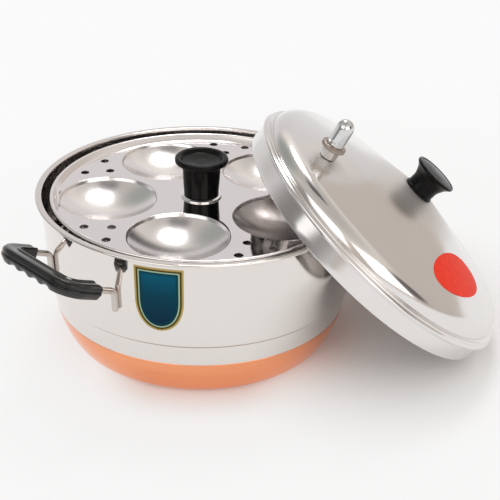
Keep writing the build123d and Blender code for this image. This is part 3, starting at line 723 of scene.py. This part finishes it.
def plate_shape(turn):
    """One plate about the axis, its flat top at height 0."""
    web_r = PLATE_R - EDGE_WIDTH
    lip = CUP_R + CUP_LIP
    first = FIRST_CUP + turn
    places = [polar(CUP_CIRCLE, first + 360 / CUPS * k) for k in range(CUPS)]
    holes = [polar(r, first + 360 / CUPS * (k + 0.5) + off) for k in range(CUPS)
             for r, off in ((HOLE_INNER, 0), (HOLE_OUTER, -HOLE_SPREAD), (HOLE_OUTER, HOLE_SPREAD))]
    origin = (0.0, 0.0)
    flat_r = web_r - EDGE_BEND
    pierced = [(h, HOLE_R, HOLE_STEPS) for h in holes] + [(origin, BORE_R, BORE_STEPS)]
    rings = ([(origin, flat_r, EDGE_STEPS)] + [(p, lip, CUP_STEPS) for p in places]
             + [(c, r + BEVEL, n) for c, r, n in pierced])
    parts = [web(rings, 0.0, True), web(rings, -PLATE_GAUGE, False)]
    for grow in (0, PLATE_GAUGE):
        # the bowl's line runs outwards, which faces down, so the upper skin is turned over
        points, faces = lathe(cup_profile(grow, lip), CUP_STEPS)
        shape = (points, faces if grow else [f[::-1] for f in faces])
        for p in places:
            parts.append(moved(shape, Matrix.Translation((*p, 0))))
    for centre, r, n in pierced:
        low = PLATE_GAUGE - BEVEL * 0.6
        line = [(r + BEVEL, 0), (r, -BEVEL * 0.6), (r, -low), (r + BEVEL, -PLATE_GAUGE)]
        parts.append(moved(lathe(line, n), Matrix.Translation((*centre, 0))))
    roll_mid = np.array((PLATE_R - EDGE_ROLL, EDGE_RISE - EDGE_ROLL))
    run = roll_mid - (web_r, -PLATE_GAUGE / 2)
    lean = math.degrees(math.atan2(run[1], run[0]))
    roll = arc(roll_mid, EDGE_ROLL, lean + 115, lean - 115, 26)
    top_line = rounded([(flat_r, 0), (web_r - 0.2, 0), roll[0]], [1.2], 8.0)
    under = rounded([roll[-1], (web_r + 0.3, -PLATE_GAUGE), (flat_r, -PLATE_GAUGE)], [1.6], 8.0)
    line = np.vstack((top_line, roll[1:], under))
    parts.append(lathe(line[::-1], EDGE_STEPS))
    return joined(*parts)


def rougher(tree, extra):
    """Adds a socket's value to the roughness that a material already has."""
    had = tree.nodes["Principled BSDF"].inputs["Roughness"].links[0].from_socket
    feed(tree, "Roughness", math_node(tree, "ADD", had, extra))


def satin_bowls(name, top):
    """Polished sheet, rougher where it is pressed: the roughness rises as the surface leaves the flat."""
    material = polished_metal(name, (0.84, 0.805, 0.80), (0.03, 0.06), ripple=0.05, marks=0.01)
    tree = material.node_tree
    rougher(tree, ranged(tree, off_level(tree, top), 0.15 * mm, 1.0 * mm, 0.0, 0.17))
    return material


for name, turn, top, body in (("upper", 0.0, PLATE_TOP, "upper_plate"),
                              ("lower", LOWER_TURN, PLATE_TOP - PLATE_SPACING, "lower_plate")):
    plate = piece("idli_tray_" + name, moved(plate_shape(turn), lifted(top)),
                  satin_bowls("plate_steel_" + name, top), sharp=24, weld=True)
    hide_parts("idli_plate_" + name)
    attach(plate, body)


# Rack foot, rod and spacers
# A pierced steel foot, a headed rod through its middle, and two lengths of tube that
# hold the plates apart.
def refinished(cad_nodes, material):
    """Gives CAD nodes whose shape stays another material."""
    for name in cad_nodes:
        nodes[name].data.materials.clear()
        nodes[name].data.materials.append(material)


refinished(("rack_foot", "rack_rod", "rack_spacer_lower", "rack_spacer_upper"),
           polished_metal("rack_steel", STEEL, (0.09, 0.17), fineness=500.0))


# Cup washer
# A bright turned steel washer, clamped between the knob and the upper plate.
WASHER_BORE = 4.1
WASHER_R = 16.4
WASHER_H = 1.8
KNOB_SEAT_Z = PLATE_TOP + WASHER_H
washer_line = rounded([(WASHER_BORE, 0), (WASHER_R, 0), (WASHER_R, 1.0), (WASHER_R - 1.8, WASHER_H),
                       (WASHER_BORE, WASHER_H), (WASHER_BORE, 0)], [0.2, 0.6, 0.9, 0.15], 9.0)
washer = piece("knob_cup_washer", moved(lathe(refined(washer_line, 1.5), 128), lifted(PLATE_TOP)),
               polished_metal("washer_steel", (0.85, 0.84, 0.83), (0.05, 0.09)))
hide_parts("rack_washer")
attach(washer, "rack")


# Rack knob
# Black phenolic, moulded on a threaded insert: a neck that widens a little upwards, a
# broad rounded lip and a dished top.
KNOB_BASE_R = 13.8
KNOB_NECK_R = 15.4
KNOB_LIP_R = 21.4
KNOB_HEIGHT = 31.5
KNOB_LIP = 4.8
KNOB_DISH_R = 17.0
KNOB_DISH = 4.0
INSERT_R = 6.52
INSERT_H = 17.02
lip_z = KNOB_HEIGHT - KNOB_LIP
knob_line = rounded([(INSERT_R, INSERT_H), (INSERT_R, 0), (KNOB_BASE_R, 0), (KNOB_NECK_R, lip_z - 1.0),
                     (KNOB_LIP_R - 0.9, lip_z + 0.5), (KNOB_LIP_R, lip_z + 2.2),
                     (KNOB_LIP_R - 0.6, KNOB_HEIGHT), (KNOB_DISH_R, KNOB_HEIGHT),
                     (KNOB_DISH_R - 2.2, KNOB_HEIGHT - 2.8), (6.0, KNOB_HEIGHT - KNOB_DISH),
                     (0, KNOB_HEIGHT - KNOB_DISH)],
                    [0.3, 0.8, 2.2, 1.4, 1.6, 1.8, 1.4, 2.4, 8.0], 6.0)
knob_line = np.vstack(([(0, INSERT_H)], knob_line))
knob = piece("rack_knob_top", moved(lathe(refined(knob_line, 1.5), 160), lifted(KNOB_SEAT_Z)),
             black_moulding("knob_phenolic", (0.12, 0.24)))
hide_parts("rack_knob")
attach(knob, "rack_handle")
refinished(("rack_knob_insert", "lid_knob_insert"),
           polished_metal("insert_brass", (0.78, 0.60, 0.30), (0.2, 0.3)))


# Lid
# Spun stainless cone, leaning on the rim. A plug-in skirt with a folded hem, two beads
# that land on the pot's rim, a rounded shoulder, and a flat seat for the knob.
LID_TILT = math.radians(40.5001)
LID_LEAN = math.radians(0.44)
LID_PLACE = (133.5969, 1.0, 81.1967)
SKIRT_R = 124.1
LID_GAUGE = 0.8
SKIRT_TOP = 17.6
BEAD = ((125.3, 17.4), 1.985)
SECOND_BEAD = ((124.5, 20.3), 1.2)
SHOULDER_R = 121.69
SHOULDER_H = 21.6
SHOULDER = 13.5
SLOPE = math.radians(14.8)
SEAT_R = 15.0

lid_place = (Matrix.Translation(LID_PLACE) @ Matrix.Rotation(LID_LEAN, 4, "Z")
             @ Matrix.Rotation(LID_TILT, 4, "Y"))
shoulder_mid = (SHOULDER_R - SHOULDER, SHOULDER_H)
cone_r = shoulder_mid[0] + SHOULDER * math.sin(SLOPE)
cone_h = SHOULDER_H + SHOULDER * math.cos(SLOPE)


def cone_height(r):
    """Height of the lid's outer slope at radius r."""
    return cone_h + math.tan(SLOPE) * (cone_r - r)


SEAT_H = cone_height(SEAT_R)


def lid_contour():
    """Closed section: out along the inside, round the hem, up the skirt and beads, in over the slope."""
    g = LID_GAUGE
    inner = rounded([(0, SEAT_H - g), (SEAT_R + 0.1, SEAT_H - g),
                     (cone_r - g * math.sin(SLOPE), cone_h - g * math.cos(SLOPE))], [9.0], 3.0)
    inner_shoulder = arc(shoulder_mid, SHOULDER - g, 90 - math.degrees(SLOPE), 0, 24)
    inner_skirt = [(SKIRT_R - g, SKIRT_TOP), (SKIRT_R - g, 1.6)]
    hem = arc((SKIRT_R - g, g), g, 120, 360, 18)
    bead = arc(*BEAD, -126.9, 52, 22)
    second = arc(*SECOND_BEAD, -28, 118, 18)
    up_skirt = [(SKIRT_R, 14.9), (SKIRT_R, 15.6)]
    crease = [(SHOULDER_R + 0.5, SHOULDER_H - 0.25), (SHOULDER_R, SHOULDER_H)]
    shoulder = arc(shoulder_mid, SHOULDER, 0, 90 - math.degrees(SLOPE), 40)
    top = rounded([shoulder[-1], (SEAT_R, SEAT_H), (0, SEAT_H)], [9.0], 2.0)
    return np.vstack((inner, inner_shoulder, inner_skirt, hem, up_skirt, bead, second, crease, shoulder,
                      top[1:]))


lid_steel = polished_metal("lid_steel", (0.79, 0.765, 0.75), (0.11, 0.16), lid_place, 700.0, 0.06, 0.02)
lid = piece("lid_cone", moved(lathe(refined(lid_contour(), 5.0), 320), lid_place), lid_steel, sharp=60)
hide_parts("lid_shell")
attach(lid, "lid")


def vector_math(tree, operation, a, b):
    """The number that a Vector Math node gives; a is a socket and b a place or direction."""
    made = node(tree, "ShaderNodeVectorMath", operation=operation)
    fill(tree, made.inputs[0], a)
    fill(tree, made.inputs[1], b)
    return made.outputs["Value"]


def duller_near(material, place, near, far, extra):
    """Adds extra roughness at a point of the object, which fades out between near and far."""
    tree = material.node_tree
    away = vector_math(tree, "DISTANCE", place_on(tree), place * mm)
    rougher(tree, ranged(tree, away, near * mm, far * mm, extra, 0.0, eased=True))


# the wheel doesn't reach close up to the fittings, so the steel stays satin round them
VENT_R = 88.0
VENT_AZIMUTH = 198.4
duller_near(lid_steel, lid_place @ Vector((0, 0, SEAT_H)), 16, 66, 0.4)
duller_near(lid_steel, lid_place @ Vector((*polar(VENT_R, VENT_AZIMUTH), cone_height(VENT_R))), 8, 40, 0.4)


# Oval label
# A plain red foil, stuck on the slope below the knob. It follows the cone.
OVAL_R = 75.4
OVAL_TURN = math.radians(312.4)
OVAL_LONG = 40.2
OVAL_SHORT = 19.1
OVAL_SKEW = math.radians(7.8)


def oval_grid(lift):
    """Ellipse rings laid on the slope: each flat place becomes a radius and an angle about the lid's axis."""
    shares = np.concatenate((np.linspace(0, 0.9, 14), [0.94, 0.97, 0.985, 1.0]))[:, None]
    spin = np.linspace(0, 2 * np.pi, 96, endpoint=False)
    u = OVAL_SHORT * shares * np.cos(spin)
    v = OVAL_LONG * shares * np.sin(spin)
    down = OVAL_R + math.cos(SLOPE) * (u * math.cos(OVAL_SKEW) - v * math.sin(OVAL_SKEW))
    side = u * math.sin(OVAL_SKEW) + v * math.cos(OVAL_SKEW)
    r = np.hypot(down, side)
    t = OVAL_TURN + np.arctan2(side, down)
    h = cone_height(r) + lift / math.cos(SLOPE)
    return np.stack((r * np.cos(t), r * np.sin(t), h), -1)


oval_red, tree = shader("oval_red", (0.87, 0.05, 0.025), 0.45, 0.08)
print_cloud = noise(tree, 260.0, 3.0)
feed(tree, "Base Color", ramp(tree, print_cloud, [(0.3, (0.84, 0.035, 0.014)), (0.7, (0.91, 0.055, 0.024))]))
feed(tree, "Normal", raised(tree, print_cloud, 0.05, 0.0001))
oval_skins = foil(oval_grid(FOIL_GAP + FOIL_GAUGE), oval_grid(FOIL_GAP), round_grid=True)
oval = piece("oval_foil", moved(oval_skins, lid_place), oval_red, sharp=30, weld=True)
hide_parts("lid_label")
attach(oval, "lid")


# Lid knob
# Black phenolic on an insert: a thin collar, a straight waist that flares to a wide top,
# and a fine groove round the flat of the top. A screw and washer hold it from inside.
LID_KNOB_BASE = 12.8
LID_KNOB_WAIST = 12.0
LID_KNOB_TOP = 18.4
LID_KNOB_H = 21.0
LID_KNOB_LIP = 1.8
LID_INSERT_R = 5.02
LID_INSERT_H = 13.02
knob_r, knob_h = LID_KNOB_TOP, LID_KNOB_H
lid_knob_line = rounded([(LID_INSERT_R, LID_INSERT_H), (LID_INSERT_R, 0), (LID_KNOB_BASE, 0),
                         (LID_KNOB_BASE, 2.0), (LID_KNOB_WAIST, 2.3), (LID_KNOB_WAIST, 9.0),
                         (LID_KNOB_WAIST + 3.0, 15.8), (knob_r, knob_h - LID_KNOB_LIP - 0.3),
                         (knob_r, knob_h - 0.2), (knob_r - 1.6, knob_h), (knob_r - 2.0, knob_h - 0.5),
                         (knob_r - 3.0, knob_h - 0.2), (6.0, knob_h + 0.7), (0, knob_h + 0.8)],
                        [0.2, 0.4, 0.5, 0.5, 9.0, 14.0, 0.5, 0.6, 0.3, 0.2, 0.6, 20.0], 5.0)
lid_knob_line = np.vstack(([(0, LID_INSERT_H)], lid_knob_line))
lid_knob = piece("lid_knob_top", moved(lathe(refined(lid_knob_line, 1.5), 144), lid_place @ lifted(SEAT_H)),
                 black_moulding("lid_knob_phenolic", (0.16, 0.30)))
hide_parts("lid_knob")
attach(lid_knob, "lid")
refinished(("lid_knob_screw", "lid_knob_washer", "vent_washer", "vent_nut"),
           polished_metal("inside_fittings_steel", STEEL, (0.12, 0.22), lid_place, 500.0))


# Vent and whistle
# Plated brass. A hexagonal stem is screwed through the slope on a black seal, and the
# knurled weight with its domed cap sits loose on the stem's spindle.
SEAL_GAUGE = 0.6
HEX_CORNER = 6.9
HEX_H = 7.6
SPINDLE_R = 2.6
SPINDLE_H = 12.0
FLANGE_R = 9.8
FLANGE_H = 4.0
KNURLS = 36
DOME_R = 7.0
DOME_H = 22.0
DOME_BORE = 5.02
DOME_BORE_H = 12
vent_place = (lid_place @ Matrix.Rotation(math.radians(VENT_AZIMUTH), 4, "Z")
              @ Matrix.Translation((VENT_R, 0, cone_height(VENT_R))) @ Matrix.Rotation(SLOPE, 4, "Y"))
# painted shade: the hexagon's plating and the knurl's brass are darker than the cap's plating, standing in
# for the dark reflections on them
plated = polished_metal("plated_brass", (0.70, 0.70, 0.70), (0.04, 0.07), vent_place, 1500.0)
hexagon_plate = polished_metal("hexagon_plating", (0.58, 0.575, 0.57), (0.08, 0.14), vent_place, 1500.0)
darkened_knurl_brass = polished_metal("knurl_darkened_brass", (0.42, 0.355, 0.31), (0.16, 0.26), vent_place, 1500.0)


def shaped_lathe(profile, turns, radius_share):
    """A lathe whose radius is also scaled by radius_share(angle, radius) at each point."""
    verts, faces = lathe(profile, turns)
    share = radius_share(np.arctan2(verts[:, 1], verts[:, 0]), np.hypot(verts[:, 0], verts[:, 1]))
    return np.column_stack((verts[:, :2] * share[:, None], verts[:, 2])), faces


def hexagonal(t, r):
    """Flats of a hexagon whose corners lie on the circle; the small bevels at both ends stay round."""
    flat = math.cos(math.pi / 6) / np.cos((t + math.pi / 6) % (math.pi / 3) - math.pi / 6)
    return np.where(r > HEX_CORNER - 0.02, flat, np.minimum(1, flat * HEX_CORNER / np.maximum(r, 1e-6)))


hex_top = SEAL_GAUGE + HEX_H
spindle_top = hex_top + SPINDLE_H
stem_line = [(0, -6.5), (3.0, -6.5), (3.5, -6.0), (3.5, SEAL_GAUGE), (6.2, SEAL_GAUGE),
             (HEX_CORNER, SEAL_GAUGE + 0.4), (HEX_CORNER, hex_top - 0.4), (6.2, hex_top),
             (SPINDLE_R, hex_top), (SPINDLE_R, spindle_top - 0.4), (SPINDLE_R - 0.4, spindle_top),
             (1.4, spindle_top), (1.4, spindle_top - 3), (0, spindle_top - 3)]
stem = piece("vent_hexagon", moved(shaped_lathe(stem_line, 144, hexagonal), vent_place),
             hexagon_plate, sharp=25)
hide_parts("vent_stem")
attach(stem, "lid")
refinished(("vent_seal",), black_moulding("seal_rubber", (0.5, 0.65), grain=0.3))


def knurled(t, r):
    """Rounded ribs round the flange's edge."""
    rib = 1 - 0.035 * (0.5 - 0.5 * np.cos(KNURLS * t)) ** 1.5
    return np.where(r > FLANGE_R - 0.35, rib, 1.0)


FLANGE_BORE = SPINDLE_R + 0.08
FLANGE_NECK = 5.0
flange_line = np.array([(FLANGE_BORE, 3.9), (FLANGE_BORE, 0), (FLANGE_R - 1.2, 0), (FLANGE_R - 0.3, 0.5),
                        (FLANGE_R, 0.8), (FLANGE_R, 3.2), (FLANGE_R - 0.3, 3.5), (FLANGE_R - 1.2, 4.0),
                        (FLANGE_NECK, 4.0), (FLANGE_NECK, 5.9), (FLANGE_BORE, 5.9), (FLANGE_BORE, 3.9)])
flange_line[:, 1] += hex_top
flange = piece("whistle_knurl", moved(shaped_lathe(flange_line, KNURLS * 10, knurled), vent_place),
               darkened_knurl_brass, sharp=30)
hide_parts("whistle_weight")
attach(flange, "whistle")
ball_z = DOME_H - DOME_R
dome_line = rounded([(0, DOME_BORE_H), (DOME_BORE, DOME_BORE_H), (DOME_BORE, 0), (DOME_R - 0.3, 0),
                     (DOME_R, 0.5), (DOME_R, 2.2), (DOME_R - 0.5, 2.5), (DOME_R - 0.5, 3.1), (DOME_R, 3.4),
                     (DOME_R, ball_z)], [0, 0.1, 0.1, 0.2, 0.2, 0.1, 0.1, 0.2], 10.0)
dome_line = np.vstack((dome_line, arc((0, ball_z), DOME_R, 0, 90, 20)))
dome_line[:, 1] += hex_top + FLANGE_H
dome = piece("whistle_cap", moved(lathe(refined(dome_line, 1.5), 96), vent_place), plated, sharp=35)
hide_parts("whistle_dome")
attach(dome, "whistle")


# Floor and backdrop
# One pale sheet that shows the object's shadow. It turns into the plain pale backdrop
# with distance from the shadow and from the pot; that backdrop is a glow painted over the
# sheet's own shading. Close to the base the glow is painted stronger at the pot's left and
# right than in front and behind, a painted pool of light at each side.
PALE = (0.955, 0.955, 0.955)
FLOOR_DROP = 0.05
SHADOW_MIDDLE = (0.16, 0.03, 0)
NEAR_FADE = (0.07, 0.21)
FAR_FADE = (0.26, 0.6)
BASE_FADE = (0.095, 0.150)
SIDE_FADE = (0.030, 0.085)


def level_sheet(reach, count):
    """A flat square sheet, a hair below the pot's base so that the two don't lie in one plane."""
    line = np.linspace(-reach, reach, count)
    u, v = np.meshgrid(line, line, indexing="ij")
    points = np.stack((u, v, 0 * u - FLOOR_DROP), -1).reshape(-1, 3)
    return points, quads(count, count, wrap_cols=False, turned=True).tolist()


floor = piece("floor", level_sheet(6000, 60))
floor_paper, tree = shader("floor_paper", (0.945, 0.95, 0.96), 0.8, 0.1)
rays = node(tree, "ShaderNodeLightPath").outputs
seen = math_node(tree, "MAXIMUM", math_node(tree, "MAXIMUM", rays["Is Camera Ray"], rays["Is Glossy Ray"]),
                 rays["Is Transmission Ray"])
from_shadow = vector_math(tree, "DISTANCE", place_on(tree), SHADOW_MIDDLE)
unshaded = math_node(tree, "ADD", ranged(tree, from_shadow, *NEAR_FADE, 0.0, 0.8, eased=True),
                     ranged(tree, from_shadow, *FAR_FADE, 0.0, 0.2, eased=True))
# painted light: next to the base the floor glows more to the left and right of the pot than in front and
# behind
sideways = math_node(tree, "ABSOLUTE", split(tree, place_on(tree))[0])
painted_side_glow = ranged(tree, sideways, *SIDE_FADE, 0.2, 0.9, eased=True)
from_axis = vector_math(tree, "DISTANCE", place_on(tree), (0, 0, 0))
clear_of_base = ranged(tree, from_axis, *BASE_FADE, painted_side_glow, eased=True)
share = math_node(tree, "MULTIPLY", seen, math_node(tree, "MULTIPLY", unshaded, clear_of_base))
mix = node(tree, "ShaderNodeMixShader")
fill(tree, mix.inputs[0], share)
fill(tree, mix.inputs[1], tree.nodes["Principled BSDF"].outputs[0])
fill(tree, mix.inputs[2], node(tree, "ShaderNodeEmission", Color=(*PALE, 1)).outputs[0])
tree.links.new(mix.outputs[0], tree.nodes["Material Output"].inputs["Surface"])
floor.data.materials.append(floor_paper)


# Studio
# A pale room that gets lighter and darker with height, a darker wall at the right, a few
# dark panels that give the metal its contrast, and three soft boxes.
def direction_lobe(tree, direction, azimuth, elevation, inner, outer):
    """1 within inner degrees of a direction in the room, falling smoothly to 0 at outer degrees."""
    up = math.radians(elevation)
    along = vector_math(tree, "DOT_PRODUCT", direction, (*polar(math.cos(up), azimuth), math.sin(up)))
    return ranged(tree, along, math.cos(math.radians(outer)), math.cos(math.radians(inner)), eased=True)


world = bpy.data.worlds.new("studio")
bpy.context.scene.world = world
world.use_nodes = True
tree = world.node_tree
direction = node(tree, "ShaderNodeTexCoord").outputs["Generated"]
up_part = split(tree, direction)[2]
room = ramp(tree, up_part, [
    (0.0, (0.84, 0.84, 0.84)), (0.15, (0.78, 0.77, 0.77)), (0.36, (0.76, 0.74, 0.745)),
    (0.47, (0.74, 0.72, 0.725)), (0.60, (0.92, 0.88, 0.82)), (0.78, (0.68, 0.65, 0.61)),
    (0.93, (0.56, 0.53, 0.50)), (1.0, (0.58, 0.56, 0.53))])
WALL_AZIMUTH = -32.5
WALL_TONE = (0.62, 0.56, 0.51)
beyond = vector_math(tree, "DOT_PRODUCT", direction, (*polar(1, WALL_AZIMUTH), 0))
wall_share = math_node(tree, "MULTIPLY", ranged(tree, beyond, -0.012, 0.012, eased=True),
                       ranged(tree, up_part, 0.75, 0.42, eased=True))
room = blended(tree, wall_share, room, WALL_TONE)
# azimuth, elevation, inner and outer radius in degrees, and tone
PANELS = [(140, 40, 6, 30, (0.37, 0.39, 0.37)), (20, 86, 5, 9, (0.13, 0.13, 0.13)),
          (160, 84, 5, 9, (0.13, 0.13, 0.13)), (205, 18, 8, 42, (0.26, 0.255, 0.25)),
          (-22, 20, 9, 16, (0.14, 0.13, 0.13))]
for *lobe, tone in PANELS:
    room = blended(tree, direction_lobe(tree, direction, *lobe), room, tone)
room = blended(tree, node(tree, "ShaderNodeLightPath").outputs["Is Camera Ray"], room, PALE)
tree.links.new(room, tree.nodes["Background"].inputs["Color"])


def soft_box(name, place, target, size, power):
    """A rectangular soft light at place that faces target."""
    data = bpy.data.lights.new(name, "AREA")
    data.shape = "RECTANGLE"
    data.size, data.size_y = size
    data.energy = power
    lamp = bpy.data.objects.new(name, data)
    bpy.context.scene.collection.objects.link(lamp)
    lamp.location = place
    lamp.rotation_euler = (Vector(target) - Vector(place)).to_track_quat("-Z", "Y").to_euler()


soft_box("key_box", (0.115, 1.09, 2.36), (0, 0, 0.05), (0.72, 0.72), 16)
soft_box("left_box", (-1.15, -1.38, 1.26), (0, 0, 0.1), (1.7, 1.3), 7.5)
soft_box("right_box", (0.9, -1.57, 0.84), (0.1, 0, 0.1), (1.7, 1.2), 7.5)

bpy.context.scene.view_settings.view_transform = "Standard"
